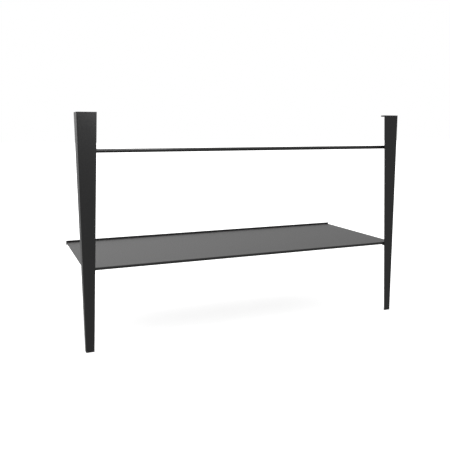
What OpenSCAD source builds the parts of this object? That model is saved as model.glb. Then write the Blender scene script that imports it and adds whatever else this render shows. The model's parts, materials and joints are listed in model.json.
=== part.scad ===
// Counter underframe with a shelf: two folded, tapering front legs joined by a round rail, a thin
// folded shelf, and a back bar whose tabs are screwed to a wall or a panel.
// X runs along the width, -Y is the front and +Z is up. The origin is the middle wall hole, on the
// wall's face.

/* [Overall] */
// Width across the two legs, at the top
frame_w = 1193; // [900:1:1500]
// Depth from the legs' front faces to the wall
frame_d = 456; // [380:1:600]
// Height of the legs
frame_h = 735; // [680:1:900]

/* [Legs] */
// Thickness of the folded leg plate
leg_t = 2.5; // [2:0.5:3]
// Outer radius of the leg's fold
leg_bend_r = 3.5; // [3.5:0.5:5]
// Width of the front plate at the top
leg_top_w = 61.5; // [55:0.5:70]
// Width of the front plate at the foot
leg_foot_w = 25.5; // [24:0.5:32]
// Depth of the side flange at the top
leg_top_d = 60; // [56:0.5:70]
// Depth of the side flange at the foot
leg_foot_d = 20.5; // [20:0.5:30]
// How far the leg's outer corner moves inwards from top to foot
foot_inset = 31; // [20:0.5:36]
// How far the leg's outer corner moves back from top to foot
foot_setback = 9.5; // [0:0.5:12]

/* [Corner plates] */
// Thickness of the plates welded into the leg corners
plate_t = 4; // [3:0.5:5]
// Diameter of the screw holes for the counter top
top_hole_d = 5.5; // [4.5:0.5:6.5]
// Distance between the two screw holes of one top plate
top_hole_pitch = 30; // [24:1:32]

/* [Rail] */
// Diameter of the round cross rail
rail_d = 12; // [8:1:16]
// Height of the rail's centre above the floor
rail_h = 615; // [450:5:660]
// Distance of the rail's centre behind the front faces
rail_back = 25; // [16:1:32]

/* [Shelf] */
// Height of the shelf's surface above the floor
shelf_h = 257.5; // [200:0.5:400]
// Thickness of the shelf sheet
shelf_t = 1.5; // [1:0.5:2]
// Height of the shelf's folded front edge
lip_h = 9; // [8:0.5:12]
// Depth of the flange folded back under the front edge
return_d = 14; // [12:1:20]
// Distance of the shelf's front edge behind the front faces at the top
shelf_back = 10.5; // [10:0.5:16]
// Distance between the ribs under the shelf, and between the wall tabs behind them
rib_pitch = 420; // [300:10:500]
// Depth of the ribs under the shelf
rib_h = 12; // [8:1:20]

/* [Back bar and wall tabs] */
// Thickness of the back bar
bar_t = 5; // [4:0.5:8]
// Height of the back bar above the shelf's surface
bar_rise = 6; // [3:0.5:12]
// Width of a wall tab
tab_w = 40; // [30:1:60]
// Diameter of the wall screw holes
wall_hole_d = 6.5; // [5:0.5:8]

/* [Feet] */
// Distance of the levelling foot from the leg's outer corner, in X and in Y
foot_in = 10.5; // [10:0.5:11]
// Diameter of the foot pad
pad_d = 13; // [11:0.5:14]
// Height of the foot pad
pad_h = 5; // [4:0.5:6]

/* [Hidden] */
$fn = 64;

coat = [0.17, 0.17, 0.17];     // black powder coat
zinc = [0.72, 0.72, 0.74];     // zinc-plated fasteners
plastic = [0.1, 0.1, 0.1];     // foot pads

tab_h = 30;                    // how far a wall tab hangs below the back bar
tab_t = 4;                     // thickness of a wall tab
tab_r = 8;                     // radius of a wall tab's lower corners
tab_hole_up = 14;              // height of the wall hole above the tab's lower edge
bar_h = bar_rise + lip_h;      // the back bar ends level with the lip's lower edge
wall_hole_h = shelf_h - lip_h - tab_h + tab_hole_up;

rib_web = 22;                  // width of a rib's lower face
rib_flange = 12;               // width of each rib flange that lies against the shelf
rib_t = 1.5;                   // thickness of a rib
rib_clear = 18;                // gap between the front flange and a rib

corner_slope = 0.73;           // slant of a corner plate's cut-off corner, X over Y
plate_short = 2.5;             // a corner plate ends this far short of the flange's back edge
top_nose = 20.5;               // straight part of a top plate's inner edge
top_hole_in = 20;              // a top plate's holes from the leg's outer corner
top_hole_front = 15;           // the front hole of a top plate, from the front face
support_nose = 14;             // straight part of a shelf support's inner edge
foot_nose = 10;                // straight part of a foot plate's inner edge

screw_r = 2.5;                 // M5 screw
screw_hole_r = 2.75;
screw_in = 14;                 // the screw from the leg's outer corner
screw_len = 9.5;               // from the support's underside to just under the shelf
head_r = 4.75;
head_h = 2.75;
hex_key_r = 1.75;
nut_r = 8 / sqrt(3);           // M5 nut, 8 mm across flats
nut_h = 4;

stud_r = 2.95;                 // M6 stud, with running clearance in a 3 mm bore
thread_r = 3;
stud_foot = 2;                 // the stud's lower end, inside the pad
stud_top = 38;
slot_w = 1.2;                  // screwdriver slot in the stud's top
slot_h = 2;
foot_plate_bottom = 12;
foot_plate_t = 6;
foot_plate_w = 19.5;
lock_nut_r = 10 / sqrt(3);     // M6 nut, 10 mm across flats
lock_nut_h = 5;
pad_edge = 1;                  // chamfer round the pad's top

leg_len = norm([foot_inset, foot_setback, frame_h]);
lean_back = atan(foot_setback / frame_h);
lean_in = atan(foot_inset / norm([foot_setback, frame_h]));
over = 20;                     // extra length that the trimming cuts take off

// Sizes of a leg at height z above the floor
function fall(z) = (frame_h - z) / frame_h;
function corner_x(z) = frame_w / 2 - foot_inset * fall(z);
function front_y(z) = -frame_d + foot_setback * fall(z);
function leg_w(z) = leg_top_w - (leg_top_w - leg_foot_w) * fall(z);
function leg_d(z) = leg_top_d - (leg_top_d - leg_foot_d) * fall(z);

lip_y = -frame_d + shelf_back;
shelf_half = corner_x(shelf_h - lip_h) - leg_t - 0.3;
support_top = shelf_h - lip_h;
screw_x = corner_x(support_top) - screw_in;
screw_y = lip_y + return_d / 2;
foot_x = corner_x(0) - foot_in;
foot_y = front_y(0) + foot_in;

// Everything is drawn from the floor up, then lowered so that the wall holes are at height 0
module from_floor() { translate([0, 0, -wall_hole_h]) children(); }

module right_side() { mirror([1, 0, 0]) children(); }

// The left leg's own frame: its origin is the outer corner at the top, and -Z runs down the fold
module leg_frame() {
    translate([-frame_w / 2, -frame_d, frame_h])
        rotate([lean_back, 0, 0]) rotate([0, -lean_in, 0]) children();
}

// A quadrant whose corner is rounded as the fold is, moved inwards by inset
module fold_block(inset, w, d) {
    r = leg_bend_r - inset;
    translate([leg_bend_r, inset]) square([w - leg_bend_r, d - inset]);
    translate([inset, leg_bend_r]) square([w - inset, d - leg_bend_r]);
    translate([leg_bend_r, leg_bend_r]) circle(r);
}

module fold_prism(inset) {
    translate([0, 0, -leg_len - over])
        linear_extrude(leg_len + 2 * over) fold_block(inset, leg_top_w + over, leg_top_d + over);
}

// The part of the leg's frame inside both tapering edges
module taper_x() {
    slope = (leg_top_w - leg_foot_w) / leg_len;
    translate([0, 2 * leg_top_d, 0]) rotate([90, 0, 0]) linear_extrude(3 * leg_top_d)
        polygon([[-over, over], [leg_top_w + slope * over, over],
                 [leg_foot_w - slope * over, -leg_len - over], [-over, -leg_len - over]]);
}

module taper_y() {
    slope = (leg_top_d - leg_foot_d) / leg_len;
    translate([-over, 0, 0]) rotate([90, 0, 90]) linear_extrude(2 * leg_top_w)
        polygon([[-over, over], [leg_top_d + slope * over, over],
                 [leg_foot_d - slope * over, -leg_len - over], [-over, -leg_len - over]]);
}

module leg() {
    intersection() {
        leg_frame() intersection() {
            difference() {
                fold_prism(0);
                fold_prism(leg_t);
            }
            taper_x();
            taper_y();
        }
        translate([-frame_w, -2 * frame_d, 0]) cube([2 * frame_w, 4 * frame_d, frame_h]);
    }
}

// A plate that fills the leg's corner, with its back inner corner cut off
module corner_plate(top, t, w, nose) {
    d = leg_d(top) - plate_short;
    intersection() {
        translate([-corner_x(top), front_y(top), top - t]) linear_extrude(t)
            polygon([[-over, -over], [w, -over], [w, nose],
                     [w - corner_slope * (d - nose), d], [-over, d]]);
        leg_frame() fold_prism(leg_t);
    }
}

module top_plate() {
    difference() {
        corner_plate(frame_h, plate_t, leg_top_w, top_nose);
        for (i = [0, 1])
            translate([-frame_w / 2 + top_hole_in, -frame_d + top_hole_front + i * top_hole_pitch,
                       frame_h - 2 * plate_t])
                cylinder(h = 3 * plate_t, r = top_hole_d / 2);
    }
}

module shelf_support() {
    difference() {
        corner_plate(support_top, plate_t, leg_w(support_top), support_nose);
        translate([-screw_x, screw_y, support_top - 2 * plate_t])
            cylinder(h = 3 * plate_t, r = screw_hole_r);
    }
}

module foot_plate() {
    difference() {
        corner_plate(foot_plate_bottom + foot_plate_t, foot_plate_t, foot_plate_w, foot_nose);
        translate([-foot_x, foot_y, 0]) cylinder(h = 2 * stud_top, r = thread_r);
    }
}

// What lies outside the inner face of the left leg's flange
module outside_flange() {
    leg_frame() translate([-2 * over, -over, -leg_len])
        cube([2 * over + leg_t, leg_top_d + 2 * over, leg_len]);
}

// The fold along the shelf's front edge, moved inwards by inset; x is depth and y is height
module front_edge(inset) {
    r = leg_bend_r - 1 - inset;
    half = lip_h / 2;
    translate([leg_bend_r - 1, -lip_h + inset]) square([return_d, lip_h - 2 * inset]);
    translate([inset, -lip_h + leg_bend_r - 1]) square([return_d, lip_h - 2 * (leg_bend_r - 1)]);
    for (s = [-1, 1])
        translate([leg_bend_r - 1, -half + s * (half - leg_bend_r + 1)]) circle(r);
}

module shelf_profile() {
    depth = frame_d - shelf_back - bar_t;
    difference() {
        front_edge(0);
        front_edge(shelf_t);
        translate([return_d, -2 * lip_h]) square([return_d, 3 * lip_h]);
    }
    translate([return_d - 1, -shelf_t]) square([depth - return_d + 1, shelf_t]);
}

module rib(x) {
    a = rib_web / 2;
    b = a + rib_flange;
    y0 = lip_y + return_d + rib_clear;
    translate([x, -bar_t, shelf_h - shelf_t]) rotate([90, 0, 0]) linear_extrude(-bar_t - y0)
        polygon([[-b, 0], [-b, -rib_t], [-a, -rib_t], [-a, -rib_h], [a, -rib_h], [a, -rib_t],
                 [b, -rib_t], [b, 0], [a - rib_t, 0], [a - rib_t, rib_t - rib_h],
                 [rib_t - a, rib_t - rib_h], [rib_t - a, 0]]);
}

module wall_tab(x) {
    difference() {
        translate([x, 0, shelf_h - lip_h]) rotate([90, 0, 0]) linear_extrude(tab_t) {
            translate([-tab_w / 2, tab_r - tab_h]) square([tab_w, tab_h - tab_r]);
            translate([tab_r - tab_w / 2, -tab_h]) square([tab_w - 2 * tab_r, tab_h]);
            for (s = [-1, 1]) translate([s * (tab_w / 2 - tab_r), tab_r - tab_h]) circle(tab_r);
        }
        translate([x, tab_t, wall_hole_h]) rotate([90, 0, 0])
            cylinder(h = 3 * tab_t, r = wall_hole_d / 2);
    }
}

module shelf_screw() {
    translate([-screw_x, screw_y, support_top - plate_t]) {
        cylinder(h = screw_len, r = screw_r);
        difference() {
            translate([0, 0, -head_h]) cylinder(h = head_h, r1 = head_r - 1.5, r2 = head_r);
            translate([0, 0, -head_h - 1]) cylinder(h = head_h, r = hex_key_r, $fn = 6);
        }
    }
}

module shelf_nut() {
    translate([-screw_x, screw_y, support_top + shelf_t]) difference() {
        cylinder(h = nut_h, r = nut_r, $fn = 6);
        translate([0, 0, -1]) cylinder(h = nut_h + 2, r = screw_r);
    }
}

module lock_nut() {
    translate([-foot_x, foot_y, foot_plate_bottom + foot_plate_t]) difference() {
        cylinder(h = lock_nut_h, r = lock_nut_r, $fn = 6);
        translate([0, 0, -1]) cylinder(h = lock_nut_h + 2, r = thread_r);
    }
}

module foot_stud() {
    translate([-foot_x, foot_y, stud_foot]) difference() {
        cylinder(h = stud_top - stud_foot, r = stud_r);
        translate([-2 * stud_r, -slot_w / 2, stud_top - stud_foot - slot_h])
            cube([4 * stud_r, slot_w, 2 * slot_h]);
    }
}

module foot_pad() {
    translate([-foot_x, foot_y, 0]) difference() {
        rotate_extrude()
            polygon([[0, 0], [pad_d / 2, 0], [pad_d / 2, pad_h - pad_edge],
                     [pad_d / 2 - pad_edge, pad_h], [0, pad_h]]);
        translate([0, 0, stud_foot]) cylinder(h = pad_h, r = stud_r);
    }
}

module left_leg() { color(coat) from_floor() leg(); }
module right_leg() { color(coat) from_floor() right_side() leg(); }
module left_top_plate() { color(coat) from_floor() top_plate(); }
module right_top_plate() { color(coat) from_floor() right_side() top_plate(); }

module cross_rail() {
    color(coat) from_floor() difference() {
        translate([-frame_w / 2, -frame_d + rail_back, rail_h]) rotate([0, 90, 0])
            cylinder(h = frame_w, r = rail_d / 2);
        outside_flange();
        right_side() outside_flange();
    }
}

module left_shelf_support() { color(coat) from_floor() shelf_support(); }
module right_shelf_support() { color(coat) from_floor() right_side() shelf_support(); }

module shelf_panel() {
    color(coat) from_floor() difference() {
        translate([-shelf_half, lip_y, shelf_h]) rotate([90, 0, 90])
            linear_extrude(2 * shelf_half) shelf_profile();
        for (s = [-1, 1])
            translate([s * screw_x, screw_y, support_top - 1])
                cylinder(h = shelf_t + 2, r = screw_hole_r);
    }
}

module back_bar() {
    color(coat) from_floor() translate([-shelf_half, -bar_t, shelf_h - lip_h])
        cube([2 * shelf_half, bar_t, bar_h]);
}

module left_rib() { color(coat) from_floor() rib(-rib_pitch); }
module middle_rib() { color(coat) from_floor() rib(0); }
module right_rib() { color(coat) from_floor() rib(rib_pitch); }
module left_wall_tab() { color(coat) from_floor() wall_tab(-rib_pitch); }
module middle_wall_tab() { color(coat) from_floor() wall_tab(0); }
module right_wall_tab() { color(coat) from_floor() wall_tab(rib_pitch); }
module left_shelf_screw() { color(zinc) from_floor() shelf_screw(); }
module right_shelf_screw() { color(zinc) from_floor() right_side() shelf_screw(); }
module left_shelf_nut() { color(zinc) from_floor() shelf_nut(); }
module right_shelf_nut() { color(zinc) from_floor() right_side() shelf_nut(); }
module left_foot_plate() { color(coat) from_floor() foot_plate(); }
module right_foot_plate() { color(coat) from_floor() right_side() foot_plate(); }
module left_lock_nut() { color(zinc) from_floor() lock_nut(); }
module right_lock_nut() { color(zinc) from_floor() right_side() lock_nut(); }
module left_foot_stud() { color(zinc) from_floor() foot_stud(); }
module right_foot_stud() { color(zinc) from_floor() right_side() foot_stud(); }
module left_foot_pad() { color(plastic) from_floor() foot_pad(); }
module right_foot_pad() { color(plastic) from_floor() right_side() foot_pad(); }

left_leg();
right_leg();
left_top_plate();
right_top_plate();
cross_rail();
left_shelf_support();
right_shelf_support();
shelf_panel();
back_bar();
left_rib();
middle_rib();
right_rib();
left_wall_tab();
middle_wall_tab();
right_wall_tab();
left_shelf_screw();
right_shelf_screw();
left_shelf_nut();
right_shelf_nut();
left_foot_plate();
right_foot_plate();
left_lock_nut();
right_lock_nut();
left_foot_stud();
right_foot_stud();
left_foot_pad();
right_foot_pad();
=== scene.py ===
# %% [markdown]
# # A black steel counter underframe with a shelf
# Two folded, tapering front legs carry a round rail and a thin folded shelf, and the back edge of
# the shelf is screwed to a wall or a panel. The CAD model says where everything is. This lesson
# rebuilds each piece around it with the rounded edges, welds and threads that the real one has.

# %% Load the frame
import json
import math
import bpy
from mathutils import Matrix, Vector


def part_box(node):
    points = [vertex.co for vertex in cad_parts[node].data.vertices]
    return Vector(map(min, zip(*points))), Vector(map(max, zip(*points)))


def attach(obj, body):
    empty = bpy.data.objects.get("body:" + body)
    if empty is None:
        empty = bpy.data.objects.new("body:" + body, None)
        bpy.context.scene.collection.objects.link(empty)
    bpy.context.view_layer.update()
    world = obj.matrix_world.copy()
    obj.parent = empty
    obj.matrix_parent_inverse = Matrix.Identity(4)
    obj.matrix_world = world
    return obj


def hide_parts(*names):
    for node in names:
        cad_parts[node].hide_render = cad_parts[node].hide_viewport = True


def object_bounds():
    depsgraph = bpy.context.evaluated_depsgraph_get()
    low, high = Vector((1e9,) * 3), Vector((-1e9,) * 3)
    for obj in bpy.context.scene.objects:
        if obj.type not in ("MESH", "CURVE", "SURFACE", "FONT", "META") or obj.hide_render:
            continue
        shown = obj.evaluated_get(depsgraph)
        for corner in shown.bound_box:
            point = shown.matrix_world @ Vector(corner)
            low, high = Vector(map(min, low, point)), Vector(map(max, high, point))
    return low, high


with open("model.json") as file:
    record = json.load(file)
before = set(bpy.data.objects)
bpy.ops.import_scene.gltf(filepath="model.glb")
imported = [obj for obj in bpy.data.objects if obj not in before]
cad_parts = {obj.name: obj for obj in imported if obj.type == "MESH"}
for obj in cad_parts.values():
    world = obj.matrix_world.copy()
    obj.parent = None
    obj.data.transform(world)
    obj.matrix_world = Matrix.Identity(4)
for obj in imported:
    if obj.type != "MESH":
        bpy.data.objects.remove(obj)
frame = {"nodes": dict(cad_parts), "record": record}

MM = 0.001
cad_low, cad_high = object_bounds()
floor_z = cad_low.z
width, depth, height = cad_high - cad_low
print("frame", [round(v, 3) for v in (width, depth, height)], "nodes", len(frame["nodes"]))

# %% [markdown]
# ## The camera
# The camera stands in front and to the left, a little lower than the counter top would be, and it
# is held level: its tilt is zero, so upright edges stay parallel. A lens shift, not a tilt, puts
# the object at the right height, as a view camera does for a building.

# %% Camera
camera_data = bpy.data.cameras.new("camera")
camera = bpy.data.objects.new("camera", camera_data)
bpy.context.scene.collection.objects.link(camera)
bpy.context.scene.camera = camera
camera_data.sensor_width = 36.0
camera_data.lens = 45.70
camera_data.shift_y = -0.210
eye = Vector((-0.830, cad_low.y - 1.7612, floor_z + 0.678))
turn = math.radians(-22.156)
camera.location = eye
camera.rotation_euler = (math.radians(90), 0, turn)
print("camera", [round(v, 3) for v in eye])

# %% [markdown]
# ## The floor
# A studio would stand the frame on a sheet of white card lit from below, so that the shadows under
# a dark object stay pale. A large plane does that here: it is white, and it glows a little. It is
# hidden from reflections, because the room's light below already says what the steel sees there.

# %% Floor
bpy.ops.object.select_all(action="DESELECT")
bpy.ops.mesh.primitive_plane_add(size=60, location=(0, 0, floor_z - 0.5 * MM))
floor = bpy.context.object
floor.name = "floor"
card = bpy.data.materials.new("white_card")
card.use_nodes = True
card_shader = card.node_tree.nodes["Principled BSDF"]
card_shader.inputs["Base Color"].default_value = (0.93, 0.93, 0.93, 1)
card_shader.inputs["Roughness"].default_value = 0.9
card_shader.inputs["Specular IOR Level"].default_value = 0.1
card_shader.inputs["Emission Color"].default_value = (1, 1, 1, 1)
card_shader.inputs["Emission Strength"].default_value = 0.68
floor.data.materials.append(card)
floor.visible_glossy = False
floor.visible_diffuse = False
print("floor at", round(floor_z, 4))

# %% [markdown]
# ## Helpers for nodes
# A material or a light is a small network of nodes. Two helpers keep the network readable: one
# adds a node and fills in its settings, the other does a sum with a Math node. An input may be a
# number, or another node's output, which is then linked.

# %% Node helpers
def feed(tree, socket, value):
    """Put a number on a socket, or link another node's output to it."""
    if isinstance(value, bpy.types.NodeSocket):
        tree.links.new(value, socket)
    else:
        socket.default_value = value


def add_node(tree, kind, inputs=(), **settings):
    """Add a node, choose its settings and feed its inputs, by name or by number."""
    node = tree.nodes.new(kind)
    for name, value in settings.items():
        setattr(node, name, value)
    for name, value in dict(inputs).items():
        feed(tree, node.inputs[name], value)
    return node


def work_out(tree, operation, first, second=0.0):
    """One sum in a Math node."""
    node = add_node(tree, "ShaderNodeMath", {0: first, 1: second}, operation=operation)
    return node.outputs[0]


def fade(tree, value, start, end, low, high):
    """A smooth change from low to high as the value goes from start to end."""
    inputs = {"Value": value, "From Min": start, "From Max": end, "To Min": low, "To Max": high}
    node = add_node(tree, "ShaderNodeMapRange", inputs, interpolation_type="SMOOTHSTEP")
    return node.outputs["Result"]


print("node helpers ready")

# %% [markdown]
# ## The room's light
# Black steel shows what it reflects more than its own colour. A white wall behind the frame and a
# white ceiling brighten every face that is seen at a grazing angle, such as the shelf's top and
# the sides of the legs. The front of the room is dimmer, so the faces turned to the viewer stay
# dark. One world shader with a few smooth fades is a plainer way to get this than many lamps.

# %% Room
room = bpy.data.worlds.new("room")
bpy.context.scene.world = room
bpy.context.scene.view_settings.view_transform = "Standard"
room.use_nodes = True
sky = room.node_tree
sky.nodes.clear()
towards = add_node(sky, "ShaderNodeTexCoord").outputs["Generated"]
axes = add_node(sky, "ShaderNodeSeparateXYZ", {0: towards}).outputs
front_wall = fade(sky, axes["X"], 0.15, 0.60, 0.42, 0.64)
back_wall = fade(sky, axes["Z"], -0.12, 0.03, 0.55, 1.0)
front_to_back = fade(sky, axes["Y"], -0.35, 0.30, front_wall, back_wall)
left_to_right = fade(sky, axes["X"], 0.0, 0.65, 1.0, 0.67)
wall_light = work_out(sky, "MULTIPLY", front_to_back, left_to_right)
ceiling = fade(sky, axes["Z"], 0.25, 0.80, 0.0, 1.1)
upper_half = work_out(sky, "MAXIMUM", wall_light, ceiling)
room_light = work_out(sky, "MULTIPLY", upper_half, fade(sky, axes["Z"], -0.75, -0.40, 0.4, 1.0))
seen_by_camera = add_node(sky, "ShaderNodeLightPath").outputs["Is Camera Ray"]
strength = work_out(sky, "MAXIMUM", room_light, seen_by_camera)
white = add_node(sky, "ShaderNodeBackground", {"Color": (1, 1, 1, 1), "Strength": strength})
sky.links.new(white.outputs[0], add_node(sky, "ShaderNodeOutputWorld").inputs["Surface"])
print("room light with", len(sky.nodes), "nodes")

# %% [markdown]
# A small softbox hangs close to the nearer leg, above and in front of it, and reaches along the
# near end of the rail. So close, its light falls off within a hand's breadth. That gives the top
# of the leg and the near end of the rail their slow change from grey to black.

# %% Softbox
softbox_data = bpy.data.lights.new("softbox", "AREA")
softbox_data.shape = "RECTANGLE"
softbox_data.size = 0.36
softbox_data.size_y = 0.12
softbox_data.energy = 0.98
softbox = bpy.data.objects.new("softbox", softbox_data)
bpy.context.scene.collection.objects.link(softbox)
softbox.location = (-0.38, cad_low.y - 0.10, cad_high.z + 0.10)
target = Vector((-0.42, cad_low.y, cad_high.z - 0.05))
softbox.rotation_euler = (target - softbox.location).to_track_quat("-Z", "Y").to_euler()
softbox.visible_camera = False
print("softbox at", [round(v, 2) for v in softbox.location])

# %% [markdown]
# ## Effects that several finishes share
# Powder coat, zinc and moulded nylon differ in colour and gloss, but all three have a fine grain,
# a little rubbing along their edges, painted as a highlight there too, and some dust on top. Each
# effect is a node group, built once and placed in each material with its own numbers. The groups
# read Object coordinates, which are the frame's own metres, so a grain of half a millimetre is the
# same size on every piece.

# %% A way to make a group
def new_group(name, inputs, outputs):
    """A shader node group with named inputs and outputs; returns its tree and its two ends."""
    group = bpy.data.node_groups.new(name, "ShaderNodeTree")
    for label, value in inputs.items():
        socket = group.interface.new_socket(name=label, in_out="INPUT", socket_type="NodeSocketFloat")
        socket.default_value = value
    for label in outputs:
        group.interface.new_socket(name=label, in_out="OUTPUT", socket_type="NodeSocketFloat")
    start = group.nodes.new("NodeGroupInput").outputs
    end = group.nodes.new("NodeGroupOutput").inputs
    return group, start, end


def place_group(tree, group, **values):
    """Put a group into a material, with that material's own values."""
    inputs = {name.replace("_", " "): value for name, value in values.items()}
    return add_node(tree, "ShaderNodeGroup", inputs, node_tree=group).outputs


print("group helpers ready")

# %% [markdown]
# ### Grain
# Grain is two noises. The fine one is the peel of the finish and becomes a bump, and the coarse
# one is the slow change in gloss and shade that makes a large sheet look like real metal. Per
# metre is the scale: 800, as on the powder coat, gives a bump about every 1.25 mm.

# %% Grain group
grain, start, end = new_group("grain", {"Per metre": 1600.0, "Patch per metre": 90.0},
                              ("Height", "Patches"))
place = add_node(grain, "ShaderNodeTexCoord").outputs["Object"]
peel = add_node(grain, "ShaderNodeTexNoise",
                {"Vector": place, "Scale": start["Per metre"], "Detail": 2.0, "Roughness": 0.55})
cloud = add_node(grain, "ShaderNodeTexNoise",
                 {"Vector": place, "Scale": start["Patch per metre"], "Detail": 4.0})
grain.links.new(peel.outputs["Fac"], end["Height"])
grain.links.new(fade(grain, cloud.outputs["Fac"], 0.3, 0.7, 0.0, 1.0), end["Patches"])
print("grain:", len(grain.nodes), "nodes")

# %% [markdown]
# ### Edge rub and painted highlight
# An edge is where two faces turn quickly, so the Bevel node, which averages the normals nearby,
# disagrees there with the true normal. A fade on their dot product is a mask of the edges, and a
# noise breaks it up, because hands and boxes never rub a whole edge evenly. The mask lightens the
# edges: partly rubbed wear, partly a painted highlight like the one a rounded edge catches.

# %% Edge rub and painted highlight group
rub_and_highlight, start, end = new_group("edge_rub_and_highlight", {"Reach": 0.0012, "Amount": 1.0}, ("Mask",))
soft_normal = add_node(rub_and_highlight, "ShaderNodeBevel", {"Radius": start["Reach"]}, samples=4).outputs[0]
true_normal = add_node(rub_and_highlight, "ShaderNodeNewGeometry").outputs["Normal"]
agree = add_node(rub_and_highlight, "ShaderNodeVectorMath", {0: soft_normal, 1: true_normal},
                 operation="DOT_PRODUCT").outputs["Value"]
edge = fade(rub_and_highlight, agree, 0.99, 0.80, 0.0, 1.0)
place = add_node(rub_and_highlight, "ShaderNodeTexCoord").outputs["Object"]
breaks = add_node(rub_and_highlight, "ShaderNodeTexNoise", {"Vector": place, "Scale": 130.0, "Detail": 5.0})
broken = fade(rub_and_highlight, breaks.outputs["Fac"], 0.42, 0.66, 0.0, 1.0)
# The edge mask: partly rubbed wear, partly a painted highlight on the edges.
rubbed_and_lit = work_out(rub_and_highlight, "MULTIPLY", work_out(rub_and_highlight, "MULTIPLY", edge, broken), start["Amount"])
rub_and_highlight.links.new(rubbed_and_lit, end["Mask"])
print("edge rub:", len(rub_and_highlight.nodes), "nodes")

# %% [markdown]
# ### Dust
# Dust settles on faces that look up, in clouds. The Z of the normal picks those faces and a
# noise makes the clouds.

# %% Dust group
dust, start, end = new_group("dust", {"Amount": 1.0}, ("Mask",))
facing = add_node(dust, "ShaderNodeNewGeometry").outputs["Normal"]
up = add_node(dust, "ShaderNodeSeparateXYZ", {0: facing}).outputs["Z"]
place = add_node(dust, "ShaderNodeTexCoord").outputs["Object"]
clouds = add_node(dust, "ShaderNodeTexNoise", {"Vector": place, "Scale": 22.0, "Detail": 6.0})
settled = work_out(dust, "MULTIPLY", fade(dust, up, 0.6, 0.95, 0.0, 1.0),
                   fade(dust, clouds.outputs["Fac"], 0.35, 0.75, 0.5, 1.0))
dust.links.new(work_out(dust, "MULTIPLY", settled, start["Amount"]), end["Mask"])
print("dust:", len(dust.nodes), "nodes")

# %% [markdown]
# ## Powder coat
# Powder coat is baked plastic dust. It is nearly matt when looked at squarely and brightens at a
# grazing angle. The Principled shader's own Fresnel gives that, so the work is in the grain. Each
# coated piece reads this one material, and the welds read a smoother one, since powder flows
# over a weld and hides most of the peel.

# %% Powder coat
def new_material(name):
    """A material with a Principled shader; returns the material, its tree and its shader."""
    material = bpy.data.materials.new(name)
    material.use_nodes = True
    return material, material.node_tree, material.node_tree.nodes["Principled BSDF"]


def mix_colours(tree, mask, low, high):
    """A colour between two, by a mask."""
    node = add_node(tree, "ShaderNodeMix", data_type="RGBA")
    feed(tree, node.inputs["Factor"], mask)
    feed(tree, node.inputs[6], low)
    feed(tree, node.inputs[7], high)
    return node.outputs[2]


def bump(tree, shader, height, strength, distance):
    """A bump from a height, fed to the shader's normal."""
    inputs = {"Height": height, "Strength": strength, "Distance": distance}
    tree.links.new(add_node(tree, "ShaderNodeBump", inputs).outputs[0], shader.inputs["Normal"])


def powder_coat(name, peel_strength, gloss, rub_and_highlight_amount):
    """Black powder coat with peel, gloss patches, rubbed edges with a painted highlight, and dust."""
    material, tree, shader = new_material(name)
    grained = place_group(tree, grain, Per_metre=800.0, Patch_per_metre=240.0)
    edges = place_group(tree, rub_and_highlight, Reach=0.0012, Amount=rub_and_highlight_amount)
    dusty = place_group(tree, dust, Amount=0.07)
    black = mix_colours(tree, grained["Patches"], (0.0185, 0.0185, 0.0188, 1),
                        (0.0225, 0.0225, 0.0228, 1))
    # The edges go lighter: partly rubbed wear, partly a painted highlight.
    worn_and_highlit = mix_colours(tree, edges["Mask"], black, (0.09, 0.09, 0.092, 1))
    colour = mix_colours(tree, dusty["Mask"], worn_and_highlit, (0.22, 0.21, 0.20, 1))
    tree.links.new(colour, shader.inputs["Base Color"])
    roughness = fade(tree, grained["Patches"], 0.0, 1.0, gloss - 0.03, gloss + 0.03)
    tree.links.new(work_out(tree, "ADD", roughness, work_out(tree, "MULTIPLY", dusty["Mask"], 0.3)),
                   shader.inputs["Roughness"])
    bump(tree, shader, grained["Height"], peel_strength, 0.08 * MM)
    return material


coated = powder_coat("powder_coat", 0.6, 0.40, 0.7)
coated_weld = powder_coat("powder_coat_on_weld", 0.15, 0.34, 0.3)
print("powder coat:", len(coated.node_tree.nodes), "nodes")

# %% [markdown]
# ## Zinc plate
# The screws, nuts and foot studs are steel with a thin plate of zinc. Zinc is a bright metal with
# faint blue and yellow clouds from its passivation, and fine lines from tumbling in a barrel.
# A metal's colour is its reflection, so the clouds go into Base Color and Metallic stays at 1.

# %% Zinc
zinc, tree, shader = new_material("zinc_plate")
shader.inputs["Metallic"].default_value = 1.0
tumbled = place_group(tree, grain, Per_metre=2600.0, Patch_per_metre=320.0)
edges = place_group(tree, rub_and_highlight, Reach=0.0004, Amount=0.8)
dusty = place_group(tree, dust, Amount=0.25)
clouded = mix_colours(tree, tumbled["Patches"], (0.56, 0.59, 0.64, 1), (0.68, 0.65, 0.56, 1))
# The edges go brighter: partly worn plating, partly a painted highlight.
edge_worn_and_highlit = mix_colours(tree, edges["Mask"], clouded, (0.80, 0.80, 0.80, 1))
tree.links.new(mix_colours(tree, dusty["Mask"], edge_worn_and_highlit, (0.30, 0.29, 0.27, 1)),
               shader.inputs["Base Color"])
tree.links.new(fade(tree, tumbled["Height"], 0.3, 0.7, 0.24, 0.42), shader.inputs["Roughness"])
bump(tree, shader, tumbled["Height"], 0.12, 0.03 * MM)
print("zinc:", len(tree.nodes), "nodes")

# %% [markdown]
# ## Moulded nylon
# The foot pads are black nylon from a spark-eroded mould, which leaves a fine matt grain. They
# scuff on the floor, so the rubbed edges are grey, and the grey is also a painted highlight there.

# %% Nylon
nylon, tree, shader = new_material("foot_nylon")
moulded = place_group(tree, grain, Per_metre=3200.0, Patch_per_metre=260.0)
edges = place_group(tree, rub_and_highlight, Reach=0.0006, Amount=1.0)
dusty = place_group(tree, dust, Amount=0.5)
nylon_black = mix_colours(tree, moulded["Patches"], (0.018, 0.018, 0.018, 1),
                          (0.027, 0.027, 0.027, 1))
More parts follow.
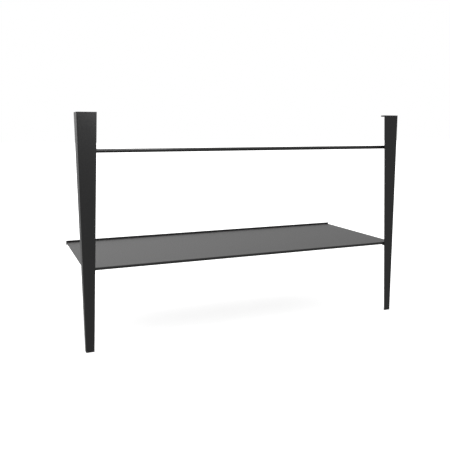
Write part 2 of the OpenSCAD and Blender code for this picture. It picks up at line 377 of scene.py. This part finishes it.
# The edges go grey: partly scuffing, partly a painted highlight.
scuffed_and_highlit = mix_colours(tree, edges["Mask"], nylon_black, (0.12, 0.12, 0.12, 1))
tree.links.new(mix_colours(tree, dusty["Mask"], scuffed_and_highlit, (0.2, 0.19, 0.18, 1)),
               shader.inputs["Base Color"])
tree.links.new(fade(tree, moulded["Patches"], 0.0, 1.0, 0.5, 0.62), shader.inputs["Roughness"])
bump(tree, shader, moulded["Height"], 0.3, 0.05 * MM)
print("nylon:", len(tree.nodes), "nodes")

# %% [markdown]
# ## Tools for the bench
# Every piece is made as a person would make it: add a primitive at its size and place, pick some
# of it, and use one operator. These helpers are that habit in code. `picked` takes a test of where
# a vertex, edge or face is and which way it looks, because a script has no mouse.

# %% Adding and picking
def add_box(name, low, high):
    """A cube primitive between two corners, with its place in its mesh."""
    low, high = Vector(low), Vector(high)
    bpy.ops.object.select_all(action="DESELECT")
    bpy.ops.mesh.primitive_cube_add(size=1, location=(low + high) / 2, scale=high - low)
    return named(name)


def add_rod(name, centre, radius, length, sides=48, turned=(0, 0, 0)):
    """A cylinder primitive round its centre, along Z unless it is turned."""
    bpy.ops.object.select_all(action="DESELECT")
    bpy.ops.mesh.primitive_cylinder_add(vertices=sides, radius=radius, depth=length,
                                        location=centre, rotation=turned)
    return named(name)


def named(name):
    """Name the primitive just added, and put its place, turn and scale into its mesh."""
    piece = bpy.context.object
    piece.name = name
    piece.data.name = name
    bpy.ops.object.transform_apply(location=True, rotation=True, scale=True)
    return piece


def where(mesh, kind, item):
    """The middle of a vertex, edge or face, and the way it looks or runs."""
    if kind == "VERT":
        return item.co, item.normal
    if kind == "FACE":
        return item.center, item.normal
    first, second = (mesh.vertices[i].co for i in item.vertices)
    return (first + second) / 2, (second - first).normalized()


def make_active(piece):
    bpy.ops.object.select_all(action="DESELECT")
    piece.select_set(True)
    bpy.context.view_layer.objects.active = piece


def shape(piece, kind, picked, operator, **settings):
    """In edit mode, pick the vertices, edges or faces that pass a test and use one operator."""
    make_active(piece)
    kinds = ("VERT", "EDGE", "FACE")
    bpy.context.tool_settings.mesh_select_mode = [kind == each for each in kinds]
    bpy.ops.object.mode_set(mode="EDIT")
    bpy.ops.mesh.select_all(action="DESELECT")
    bpy.ops.object.mode_set(mode="OBJECT")
    mesh = piece.data
    items = dict(zip(kinds, (mesh.vertices, mesh.edges, mesh.polygons)))[kind]
    for item in items:
        item.select = bool(picked(*where(mesh, kind, item)))
    bpy.ops.object.mode_set(mode="EDIT")
    operator(**settings)
    bpy.ops.object.mode_set(mode="OBJECT")


def everything(at, way):
    return True


print("picking helpers ready")

# %% [markdown]
# Modifiers do what would take a hand too long: give a sheet its thickness, round every sharp
# edge, or cut one solid with another. Each is applied at once, so the piece stays a plain mesh.
# The Manifold solver keeps every cut solid closed, which a screw thread needs.

# %% Modifiers
def modify(piece, kind, **settings):
    """Add a modifier, choose its settings and apply it."""
    modifier = piece.modifiers.new(kind.lower(), kind)
    for name, value in settings.items():
        setattr(modifier, name, value)
    make_active(piece)
    bpy.ops.object.modifier_apply(modifier=modifier.name)


def cut_with(piece, cutter, operation="DIFFERENCE"):
    """Cut, join or trim a piece with another solid, which is then thrown away."""
    modify(piece, "BOOLEAN", operation=operation, object=cutter, solver="MANIFOLD")
    bpy.data.objects.remove(cutter)


def round_edges(piece, radius, steps=3, sharper_than=35):
    """Round every edge that turns sharply enough."""
    modify(piece, "BEVEL", width=radius, segments=steps, limit_method="ANGLE",
           angle_limit=math.radians(sharper_than))


def thicken(piece, thickness):
    """Give an open sheet its thickness, inwards from the faces that were drawn."""
    modify(piece, "SOLIDIFY", thickness=thickness, offset=-1, use_even_offset=True)


print("modifier helpers ready")

# %% [markdown]
# A finished piece gets smooth shading, its material, the body that it moves with and the CAD
# nodes that it stands for. Weighted normals keep large flat faces flat where they meet a rounded
# edge. The print compares the box round each piece with the box round its CAD node.

# %% Finishing and copying
def complete(piece, material, slot, body, *nodes):
    """Shade a finished piece, give it its material and let it ride on its body; slot is not used."""
    make_active(piece)
    bpy.ops.object.shade_smooth_by_angle(angle=math.radians(35))
    modify(piece, "WEIGHTED_NORMAL", keep_sharp=True, weight=80)
    piece.data.materials.clear()
    piece.data.materials.append(material)
    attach(piece, body)
    if nodes:
        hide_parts(*nodes)
    low, high = box_of(piece)
    note = ""
    if len(nodes) == 1:
        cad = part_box(nodes[0])
        off = max(abs(a - b) for a, b in zip([*low, *high], [*cad[0], *cad[1]]))
        note = f"box off its node's by {off / MM:.2f} mm at most"
    print(piece.name, "faces", len(piece.data.polygons), note)


def box_of(piece):
    """Lowest and highest corner of a piece's own mesh."""
    places = [v.co for v in piece.data.vertices]
    return (Vector([min(p[i] for p in places) for i in range(3)]),
            Vector([max(p[i] for p in places) for i in range(3)]))


def copied(piece, name, by=(0, 0, 0)):
    """A copy with its own mesh, moved."""
    twin = piece.copy()
    twin.data = piece.data.copy()
    twin.name = name
    twin.data.name = name
    bpy.context.scene.collection.objects.link(twin)
    twin.data.transform(Matrix.Translation(by))
    return twin


def mirrored(piece, name):
    """A copy for the other side: mirrored across the middle, with its faces turned out again."""
    twin = copied(piece, name)
    shape(twin, "FACE", everything, bpy.ops.transform.mirror,
          constraint_axis=(True, False, False), center_override=(0, 0, 0))
    shape(twin, "FACE", everything, bpy.ops.mesh.normals_make_consistent, inside=False)
    return twin


print("finishing helpers ready")

# %% [markdown]
# ## The legs
# Each leg is one piece of 2.5 mm steel, cut as a tapering blank and folded once, so its section is
# an L. It could be extruded from an L, but a sheet-metal worker's way gives the right shape: make
# the outside of a tapering post, keep only its front and its outer side, round the fold, and give
# the sheet its thickness last. The sizes at the top and the foot are measured on the CAD leg.

# %% Leg sizes
def slice_of(node, z):
    """The corners of a CAD node's section at a height where it has vertices."""
    places = [v.co for v in frame["nodes"][node].data.vertices if abs(v.co.z - z) < 0.1 * MM]
    return (Vector((min(p.x for p in places), min(p.y for p in places), z)),
            Vector((max(p.x for p in places), max(p.y for p in places), z)))


leg_t = 2.5 * MM
leg_fold_r = 3.5 * MM
top_z = cad_high.z
leg_top = slice_of("left_leg", top_z)
leg_foot = slice_of("left_leg", floor_z)
print("leg at the top", [round(v / MM, 1) for v in leg_top[1] - leg_top[0]],
      "and at the foot", [round(v / MM, 1) for v in leg_foot[1] - leg_foot[0]])

# %% The left leg
leg = add_box("leg_left", (*leg_top[0].xy, floor_z), (*leg_top[1].xy, top_z))
top_size = leg_top[1] - leg_top[0]
foot_size = leg_foot[1] - leg_foot[0]
shape(leg, "VERT", lambda at, way: at.z < floor_z + 1 * MM, bpy.ops.transform.resize,
      value=(foot_size.x / top_size.x, foot_size.y / top_size.y, 1),
      center_override=(*leg_top[0].xy, floor_z))
shape(leg, "VERT", lambda at, way: at.z < floor_z + 1 * MM, bpy.ops.transform.translate,
      value=(*(leg_foot[0] - leg_top[0]).xy, 0))
shape(leg, "FACE", lambda at, way: max(way.x, way.y, abs(way.z)) > 0.7, bpy.ops.mesh.delete,
      type="FACE")
outer_x = (leg_top[0].x + leg_foot[0].x) / 2
outer_y = (leg_top[0].y + leg_foot[0].y) / 2
shape(leg, "EDGE",
      lambda at, way: abs(way.z) > 0.9 and (at.xy - Vector((outer_x, outer_y))).length < 1 * MM,
      bpy.ops.mesh.bevel, offset=leg_fold_r, segments=8, affect="EDGES")
thicken(leg, leg_t)
for end_z in (floor_z, top_z):
    shape(leg, "VERT", lambda at, way: abs(at.z - end_z) < 2 * MM, bpy.ops.transform.resize,
          value=(1, 1, 0), center_override=(0, 0, end_z))
round_edges(leg, 0.35 * MM)

# %% [markdown]
# Left and right pieces come in pairs. A welded piece is mirrored, and this helper finishes both
# sides of a pair at once.

# %% Finishing a pair
def complete_pair(left, right, node, material, slot, bodies=("frame", "frame")):
    """Finish a left piece and a right piece that stand for the two CAD nodes of one name."""
    complete(left, material, slot, bodies[0], f"left_{node}")
    complete(right, material, slot, bodies[1], f"right_{node}")


def middle_of(node):
    low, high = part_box(node)
    return (low + high) / 2


complete_pair(leg, mirrored(leg, "leg_right"), "leg", coated, "powder_coat")

# %% [markdown]
# ## The corner plates
# Three plates are welded into the corner of each leg: one at the top for the counter's screws, one
# that the shelf sits on, and a thick one above the floor for the levelling foot. All are laser-cut
# with the inner corner sliced off at a slant. A cube, one bisect and a drilled hole make each one,
# and rounding the edges comes last so that it takes in the holes too.

# %% A corner plate
corner_slope = 0.73
cut_edge_r = 0.4 * MM


def corner_plate(name, node, nose, holes, hole_r):
    """A plate with a slanted corner and round holes, where a CAD plate is."""
    low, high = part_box(node)
    plate = add_box(name, low, high)
    slant_start = (high.x, low.y - leg_t + nose, low.z)
    shape(plate, "FACE", everything, bpy.ops.mesh.bisect, plane_co=slant_start,
          plane_no=Vector((1, corner_slope, 0)).normalized(), use_fill=True, clear_outer=True)
    for x, y in holes:
        cut_with(plate, add_rod("drill", (x, y, low.z), hole_r, 30 * MM))
    round_edges(plate, cut_edge_r)
    return plate


mounts = {mount["name"]: mount for mount in frame["record"]["mounts"]}
print("mounts", sorted(mounts))

# %% Top plates
top_mount = mounts["top_screws"]
top_nose, support_nose, foot_nose = 20.5 * MM, 14 * MM, 10 * MM
hole_x = top_mount["pos_m"][0] - top_mount["dims"]["spacing_x_mm"] / 2 * MM
half_pitch = top_mount["dims"]["spacing_y_mm"] / 2 * MM
top_holes = [(hole_x, top_mount["pos_m"][1] + side * half_pitch) for side in (-1, 1)]
top_plate = corner_plate("top_plate_left", "left_top_plate", top_nose, top_holes,
                         top_mount["dims"]["hole_r_mm"] * MM)
complete_pair(top_plate, mirrored(top_plate, "top_plate_right"), "top_plate", coated, "powder_coat")

# %% Shelf supports and foot plates
screw_at = middle_of("left_shelf_screw")
screw_hole_r = 2.75 * MM
support = corner_plate("shelf_support_left", "left_shelf_support", support_nose, [screw_at.xy],
                       screw_hole_r)
complete_pair(support, mirrored(support, "shelf_support_right"), "shelf_support", coated,
              "powder_coat")
foot_at = middle_of("left_foot_stud")
foot_plate = corner_plate("foot_plate_left", "left_foot_plate", foot_nose, [foot_at.xy], 3 * MM)
complete_pair(foot_plate, mirrored(foot_plate, "foot_plate_right"), "foot_plate", coated,
              "powder_coat")

# %% [markdown]
# ## The cross rail
# The rail is a 12 mm round bar between the legs' side flanges. The flanges lean, so its ends are
# sawn at that lean: the bar is made too long, and a bisect trims each end with the plane of a
# flange. A small chamfer takes off the burr.

# %% Cross rail
rail_low, rail_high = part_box("cross_rail")
rail_r = (rail_high.z - rail_low.z) / 2
rail_at = (rail_low + rail_high) / 2
rail = add_rod("cross_rail_bar", rail_at, rail_r, rail_high.x - rail_low.x + 4 * MM, sides=64,
               turned=(0, math.radians(90), 0))
lean = (leg_foot[0].x - leg_top[0].x) / height
for side in (-1, 1):
    shape(rail, "FACE", everything, bpy.ops.mesh.bisect,
          plane_co=(side * rail_high.x, rail_at.y, rail_high.z),
          plane_no=Vector((side, 0, -lean)).normalized(), use_fill=True, clear_outer=True)
round_edges(rail, 0.4 * MM, steps=2, sharper_than=50)
complete(rail, coated, "powder_coat", "frame", "cross_rail")

# %% [markdown]
# ## The shelf
# The shelf is one sheet of 1.5 mm steel. Its front edge is folded down and then back, which makes
# a stiff lip with no sharp edge to touch. The sheet starts as a plane at its top face. Extruding
# the front edge twice draws the two folds, a bevel rounds them, and the thickness comes last.

# %% Shelf sheet
sheet_t = 1.5 * MM
return_d = 14 * MM
fold_r = 2.5 * MM
shelf_low, shelf_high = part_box("shelf_panel")


def add_sheet(name, low, high, z, turned=(0, 0, 0)):
    """A plane between two corners, at one height."""
    low, high = Vector(low).to_2d(), Vector(high).to_2d()
    bpy.ops.object.select_all(action="DESELECT")
    bpy.ops.mesh.primitive_plane_add(size=1, location=(*(low + high) / 2, z), rotation=turned)
    bpy.context.object.scale = (*(high - low), 1)
    return named(name)


def fold_out(sheet, picked, way):
    """Draw a new strip from the edges that pass a test, as a folded flange."""
    shape(sheet, "EDGE", picked, bpy.ops.mesh.extrude_edges_move,
          TRANSFORM_OT_translate={"value": way})


shelf = add_sheet("shelf_sheet", shelf_low, shelf_high, shelf_high.z)
front = shelf_low.y + 0.1 * MM
fold_out(shelf, lambda at, way: at.y < front, (0, 0, shelf_low.z - shelf_high.z))
fold_out(shelf, lambda at, way: at.z < shelf_low.z + 0.1 * MM, (0, return_d, 0))
shape(shelf, "EDGE", lambda at, way: at.y < front and abs(way.x) > 0.9, bpy.ops.mesh.bevel,
      offset=fold_r, segments=8, affect="EDGES")
thicken(shelf, sheet_t)
for side in (-1, 1):
    cut_with(shelf, add_rod("drill", (side * screw_at.x, screw_at.y, shelf_low.z), screw_hole_r,
                            5 * MM))
round_edges(shelf, 0.25 * MM, steps=2, sharper_than=60)
complete(shelf, coated, "powder_coat", "frame", "shelf_panel")

# %% [markdown]
# ## The back bar
# A flat bar stands on edge along the back of the shelf, a little higher than the sheet, so goods
# can't slip behind. Flat bar is rolled, so its long edges are rounder than its sawn ends: two
# bevels with different radii show that.

# %% Back bar
bar_low, bar_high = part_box("back_bar")
bar = add_box("back_bar_flat", bar_low, bar_high)
shape(bar, "EDGE", lambda at, way: abs(way.x) > 0.9, bpy.ops.mesh.bevel, offset=0.9 * MM,
      segments=4, affect="EDGES")
round_edges(bar, 0.2 * MM, steps=2, sharper_than=60)
complete(bar, coated, "powder_coat", "frame", "back_bar")

# %% [markdown]
# ## The ribs
# Three hat-shaped ribs of the same sheet keep the shelf from sagging. One is drawn from its lower
# face: the sides are folded up, the flanges out, the folds are rounded and the sheet thickened.
# The other two are copies. Each rib is spot-welded, and a spot leaves a shallow ring on the steel.

# %% One rib, three times
rib_low, rib_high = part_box("left_rib")
rib_at = (rib_low + rib_high) / 2
web_half = 11 * MM
rib = add_sheet("rib_left", (rib_at.x - web_half, rib_low.y), (rib_at.x + web_half, rib_high.y),
                rib_low.z, turned=(math.radians(180), 0, 0))
flange_z = rib_high.z - sheet_t
fold_out(rib, lambda at, way: abs(way.y) > 0.9, (0, 0, flange_z - rib_low.z))
for side in (-1, 1):
    fold_out(rib, lambda at, way: at.z > flange_z - 0.1 * MM and (at.x - rib_at.x) * side > 0
             and abs(way.y) > 0.9, (side * (rib_high.x - rib_at.x - web_half), 0, 0))
shape(rib, "EDGE",
      lambda at, way: abs(way.y) > 0.9 and abs(abs(at.x - rib_at.x) - web_half) < 0.1 * MM,
      bpy.ops.mesh.bevel, offset=1.8 * MM, segments=5, affect="EDGES")
thicken(rib, sheet_t)
round_edges(rib, 0.25 * MM, steps=2, sharper_than=60)
rib_pitch = middle_of("middle_rib").x - rib_at.x
ribs = [rib, copied(rib, "rib_middle", (rib_pitch, 0, 0)),
        copied(rib, "rib_right", (2 * rib_pitch, 0, 0))]
for piece, node in zip(ribs, ("left_rib", "middle_rib", "right_rib")):
    complete(piece, coated, "powder_coat", "frame", node)

# %% Spot welds
spot_r = 2.6 * MM
spots_in_a_row = 7
spot = add_rod("spot", (0, 0, flange_z), spot_r, 0.5 * MM, sides=24)
shape(spot, "FACE", lambda at, way: way.z < -0.9, bpy.ops.mesh.inset, thickness=0.5 * MM)
shape(spot, "FACE", lambda at, way: way.z < -0.9 and at.xy.length < 0.1 * MM, bpy.ops.mesh.inset,
      thickness=0.5 * MM, depth=-0.2 * MM)
round_edges(spot, 0.1 * MM, steps=2, sharper_than=20)


def joined(parts, name):
    """One piece from several."""
    bpy.ops.object.select_all(action="DESELECT")
    for part in parts:
        part.select_set(True)
    bpy.context.view_layer.objects.active = parts[0]
    bpy.ops.object.join()
    parts[0].name = name
    parts[0].data.name = name
    return parts[0]


flange_mid = (web_half + rib_high.x - rib_at.x) / 2 + 0.5 * MM
for i, name in enumerate(("left", "middle", "right")):
    row = []
    for j in range(spots_in_a_row):
        y = rib_low.y + (rib_high.y - rib_low.y) * (j + 0.5) / spots_in_a_row
        for side in (-1, 1):
            row.append(copied(spot, "spot", (rib_at.x + i * rib_pitch + side * flange_mid, y, 0)))
    complete(joined(row, f"rib_spot_welds_{name}"), coated_weld, "powder_coat", "frame")
bpy.data.objects.remove(spot)

# %% [markdown]
# ## The wall tabs
# Three tabs hang from the back bar and are screwed to the wall. Each is a plate with two rounded
# corners and one hole. The corners are a wide bevel on two edges of a cube.

# %% Wall tabs
tab_low, tab_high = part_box("left_wall_tab")
tab_x = (tab_low.x + tab_high.x) / 2
tab = add_box("wall_tab_left", tab_low, tab_high)
shape(tab, "EDGE", lambda at, way: abs(way.y) > 0.9 and at.z < tab_low.z + 1 * MM,
      bpy.ops.mesh.bevel, offset=8 * MM, segments=10, affect="EDGES")
wall_hole = mounts["middle_wall_hole"]
cut_with(tab, add_rod("drill", (tab_x, tab_low.y, wall_hole["pos_m"][2]),
                      wall_hole["dims"]["r_mm"] * MM, 20 * MM, turned=(math.radians(90), 0, 0)))
round_edges(tab, cut_edge_r)
tabs = [tab, copied(tab, "wall_tab_middle", (-tab_x, 0, 0)),
        copied(tab, "wall_tab_right", (-2 * tab_x, 0, 0))]
for piece, node in zip(tabs, ("left_wall_tab", "middle_wall_tab", "right_wall_tab")):
    complete(piece, coated, "powder_coat", "frame", node)

# %% [markdown]
# ## The welds
# A hand-laid weld is a row of small overlapping pools. Each pool is a flattened drop, and a voxel
# remesh melts a row of them into one closed skin with the ripples left in. The beads lie in the
# corners under the plates, round the ends of the rail, under the tabs' top edge, and in short
# stitches between the shelf and the back bar.

# %% Laying a bead
def weld_bead(name, paths, size):
    """A rippled bead of a given half width along each path of points."""
    bpy.ops.object.select_all(action="DESELECT")
    bpy.ops.mesh.primitive_uv_sphere_add(segments=16, ring_count=10, radius=size)
    drop = named("drop")
    drops = []
    for path in paths:
        for start, end in zip(path, path[1:]):
            along = (end - start).normalized()
            count = max(1, round((end - start).length / (size * 0.62)))
            turned = along.to_track_quat("X", "Z").to_matrix().to_4x4()
            flat = turned @ Matrix.Diagonal((0.68, 1, 1, 1))
            for i in range(count):
                pool = copied(drop, "drop")
                pool.data.transform(Matrix.Translation(start.lerp(end, (i + 0.5) / count)) @ flat)
                drops.append(pool)
    bpy.data.objects.remove(drop)
    bead = joined(drops, name)
    modify(bead, "REMESH", mode="VOXEL", voxel_size=0.4 * MM)
    modify(bead, "SMOOTH", factor=0.5, iterations=2)
    return bead


def corner_paths(node, short):
    """The two lines where the underside of a plate meets the inside of a leg."""
    low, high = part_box(node)
    out = Vector((0.4, 0.4, -0.4)) * MM
    in_x = Vector((low.x + 3 * MM, low.y, low.z)) + out
    in_y = Vector((low.x, low.y + 3 * MM, low.z)) + out
    return [[in_x, Vector((high.x - short, low.y, low.z)) + out],
            [in_y, Vector((low.x, high.y - short, low.z)) + out]]


print("weld helper ready")

# %% Welds of the legs
ring_steps = 20
ring = []
for i in range(ring_steps + 1):
    angle = 2 * math.pi * i / ring_steps
    ring.append(Vector((rail_low.x + 1.2 * MM, rail_at.y + (rail_r + 0.3 * MM) * math.cos(angle),
                        rail_at.z + (rail_r + 0.3 * MM) * math.sin(angle))))
leg_paths = [ring, *corner_paths("left_top_plate", 6 * MM),
             *corner_paths("left_shelf_support", 4 * MM), *corner_paths("left_foot_plate", 3 * MM)]
leg_weld = weld_bead("weld_leg_left", leg_paths, 2.0 * MM)
leg_weld_right = mirrored(leg_weld, "weld_leg_right")
complete(leg_weld, coated_weld, "powder_coat", "frame")
complete(leg_weld_right, coated_weld, "powder_coat", "frame")

# %% Welds along the back
back_paths = []
for i in range(3):
    x = tab_x * (1 - i)
    edge = Vector((0, tab_low.y - 0.4 * MM, tab_high.z - 0.4 * MM))
    back_paths.append([edge + Vector((x - 16 * MM, 0, 0)), edge + Vector((x + 16 * MM, 0, 0))])
stitch = Vector((0, bar_low.y - 0.5 * MM, shelf_high.z - sheet_t - 0.5 * MM))
stitch_half = 12 * MM
for x in (-0.92, -0.55, -0.2, 0.2, 0.55, 0.92):
    middle = stitch + Vector((x * bar_high.x, 0, 0))
    back_paths.append([middle - Vector((stitch_half, 0, 0)), middle + Vector((stitch_half, 0, 0))])
complete(weld_bead("weld_back", back_paths, 1.5 * MM), coated_weld, "powder_coat", "frame")

# %% [markdown]
# ## Threads
# A screw thread is a V that climbs round an axis. The V is a four-sided circle with its inner
# corner deleted and its crest cut flat, and the Screw modifier winds it. The wound surface is
# open, so two bisects with fill cut it to length and close it, and a chamfered blank trims its
# ends the way a lathe does.

# %% A threaded rod
def threaded_rod(name, centre, radius, pitch, low_z, high_z):
    """A closed threaded rod between two heights, with chamfered ends."""
    root = radius - 0.61 * pitch
    bpy.ops.object.select_all(action="DESELECT")
    bpy.ops.mesh.primitive_circle_add(vertices=4, radius=1, location=(root, 0, 0),
                                      rotation=(math.radians(90), 0, 0))
    bpy.context.object.scale = (0.70 * pitch, pitch / 2, 1)
    rod = named(name)
    shape(rod, "VERT", lambda at, way: at.x < root - pitch / 10, bpy.ops.mesh.delete, type="VERT")
    shape(rod, "VERT", lambda at, way: at.x > root + pitch / 10, bpy.ops.mesh.bevel,
          offset=0.107 * pitch, affect="VERTICES")
    turns = math.ceil((high_z - low_z) / pitch) + 3
    modify(rod, "SCREW", axis="Z", screw_offset=pitch, iterations=turns, steps=24, render_steps=24)
    shape(rod, "VERT", everything, bpy.ops.mesh.remove_doubles, threshold=0.001 * MM)
    rod.data.transform(Matrix.Translation((centre.x, centre.y, low_z - 1.513 * pitch)))
    for z, keep in ((low_z, {"clear_inner": True}), (high_z, {"clear_outer": True})):
        shape(rod, "FACE", everything, bpy.ops.mesh.bisect, plane_co=(0, 0, z), plane_no=(0, 0, 1),
              use_fill=True, threshold=0.001 * MM, **keep)
    shape(rod, "FACE", everything, bpy.ops.mesh.normals_make_consistent, inside=False)
    blank = add_rod("blank", (centre.x, centre.y, (low_z + high_z) / 2), radius + 0.02 * MM,
                    high_z - low_z - 0.01 * MM, sides=64)
    round_edges(blank, 0.6 * pitch, steps=1, sharper_than=60)
    cut_with(rod, blank, "INTERSECT")
    return rod


def hex_nut(name, node, across, hole_r):
    """A nut with chamfered corners and a bore, where a CAD nut is."""
    low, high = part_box(node)
    centre = (low + high) / 2
    tall = high.z - low.z
    corner_r = across / math.sqrt(3)
    nut = add_rod(name, centre, corner_r, tall, sides=6, turned=(0, 0, math.radians(30)))
    blank = add_rod("blank", centre, corner_r + 0.01 * MM, tall - 0.01 * MM, sides=64)
    round_edges(blank, 0.6 * MM, steps=1, sharper_than=60)
    cut_with(nut, blank, "INTERSECT")
    cut_with(nut, add_rod("drill", centre, hole_r, 2 * tall))
    round_edges(nut, 0.1 * MM, steps=2)
    return nut


print("thread and nut helpers ready")

# %% [markdown]
# ## The shelf screws and nuts
# An M5 button-head screw comes up through each shelf support and the shelf's folded flange, and a
# nut holds it. The head is a short rod with a deeply bevelled rim, and a six-sided rod cuts the
# socket. The threaded shank starts inside the head, so the two closed shapes are simply joined.
# Hardware is copied across and not mirrored, so both threads are right-handed.

# %% Shelf screws
screw_low, screw_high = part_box("left_shelf_screw")
head_r, head_h = 4.75 * MM, 2.75 * MM
across_x = Vector((-2 * screw_at.x, 0, 0))
head = add_rod("shelf_screw_left", (*screw_at.xy, screw_low.z + head_h / 2), head_r, head_h)
shape(head, "EDGE", lambda at, way: at.z < screw_low.z + 0.1 * MM and abs(way.z) < 0.1,
      bpy.ops.mesh.bevel, offset=2.1 * MM, segments=7, affect="EDGES")
shank = threaded_rod("shank", screw_at, 2.5 * MM, 0.8 * MM, screw_low.z + head_h - 0.6 * MM,
                     screw_high.z)
cut_with(head, add_rod("hex_key", (*screw_at.xy, screw_low.z), 1.75 * MM, 3.4 * MM, sides=6))
screw = joined([head, shank], "shelf_screw_left")
complete_pair(screw, copied(screw, "shelf_screw_right", across_x), "shelf_screw", zinc,
              "zinc_plate")
nut = hex_nut("shelf_nut_left", "left_shelf_nut", 8 * MM, 2.52 * MM)
complete_pair(nut, copied(nut, "shelf_nut_right", across_x), "shelf_nut", zinc, "zinc_plate")

# %% [markdown]
# ## The levelling feet
# Each foot is an M6 stud with a screwdriver slot in its top end, a lock nut on the foot plate and
# a moulded pad. The pad's rim has flutes for the fingers, and its sole is hollowed, so it rests on
# a ring. Both are insets: some of the rim's faces are inset and pushed in, and so is the sole.

# %% Foot studs and lock nuts
stud_low, stud_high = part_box("left_foot_stud")
across_feet = Vector((-2 * foot_at.x, 0, 0))
foot_bodies = ("left_foot", "right_foot")
stud_r = 2.95 * MM
stud = threaded_rod("foot_stud_left", foot_at, stud_r, 1.0 * MM, stud_low.z, stud_high.z)
slot_size = Vector((8, 1.2, 4)) * MM
slot_at = Vector((*foot_at.xy, stud_high.z))
cut_with(stud, add_box("slot", slot_at - slot_size / 2, slot_at + slot_size / 2))
complete_pair(stud, copied(stud, "foot_stud_right", across_feet), "foot_stud", zinc, "zinc_plate",
              foot_bodies)
lock_nut = hex_nut("lock_nut_left", "left_lock_nut", 10 * MM, 3.02 * MM)
complete_pair(lock_nut, copied(lock_nut, "lock_nut_right", across_feet), "lock_nut", zinc,
              "zinc_plate")

# %% Foot pads
pad_low, pad_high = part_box("left_foot_pad")
pad_at = (pad_low + pad_high) / 2
pad_r = (pad_high.x - pad_low.x) / 2
pad_sides = 48
pad = add_rod("foot_pad_left", pad_at, pad_r, pad_high.z - pad_low.z, sides=pad_sides)


def fluted(at, way):
    """True for every third face round the rim."""
    step = math.degrees(math.atan2(at.y - pad_at.y, at.x - pad_at.x)) % 360 // (360 / pad_sides)
    return abs(way.z) < 0.05 and step % 3 == 1


for rim_z, rim_r in ((pad_high.z, 0.9 * MM), (pad_low.z, 0.4 * MM)):
    shape(pad, "EDGE", lambda at, way: abs(at.z - rim_z) < 0.05 * MM, bpy.ops.mesh.bevel,
          offset=rim_r, segments=4, affect="EDGES")
shape(pad, "FACE", fluted, bpy.ops.mesh.inset, thickness=0.12 * MM, depth=-0.35 * MM,
      use_individual=True)
shape(pad, "FACE", lambda at, way: way.z > 0.99, bpy.ops.mesh.inset,
      thickness=pad_r - 0.9 * MM - stud_r)
shape(pad, "FACE", lambda at, way: way.z > 0.99 and (at - pad_at).xy.length < 0.1 * MM,
      bpy.ops.mesh.extrude_region_move, TRANSFORM_OT_translate={"value": (0, 0, -3 * MM)})
shape(pad, "FACE", lambda at, way: way.z < -0.99, bpy.ops.mesh.inset, thickness=1.1 * MM)
shape(pad, "FACE", lambda at, way: way.z < -0.99 and (at - pad_at).xy.length < 0.1 * MM,
      bpy.ops.mesh.inset, thickness=0.3 * MM, depth=-0.5 * MM)
round_edges(pad, 0.1 * MM, steps=2)
complete_pair(pad, copied(pad, "foot_pad_right", across_feet), "foot_pad", nylon, "foot_plastic",
              foot_bodies)

# %% [markdown]
# ## Measure and finish
# The last cell prints the size of the CAD box. The finished pieces may not stand
# outside the CAD model.

# %% Sizes
print("CAD box", [round(v, 4) for v in cad_high - cad_low])
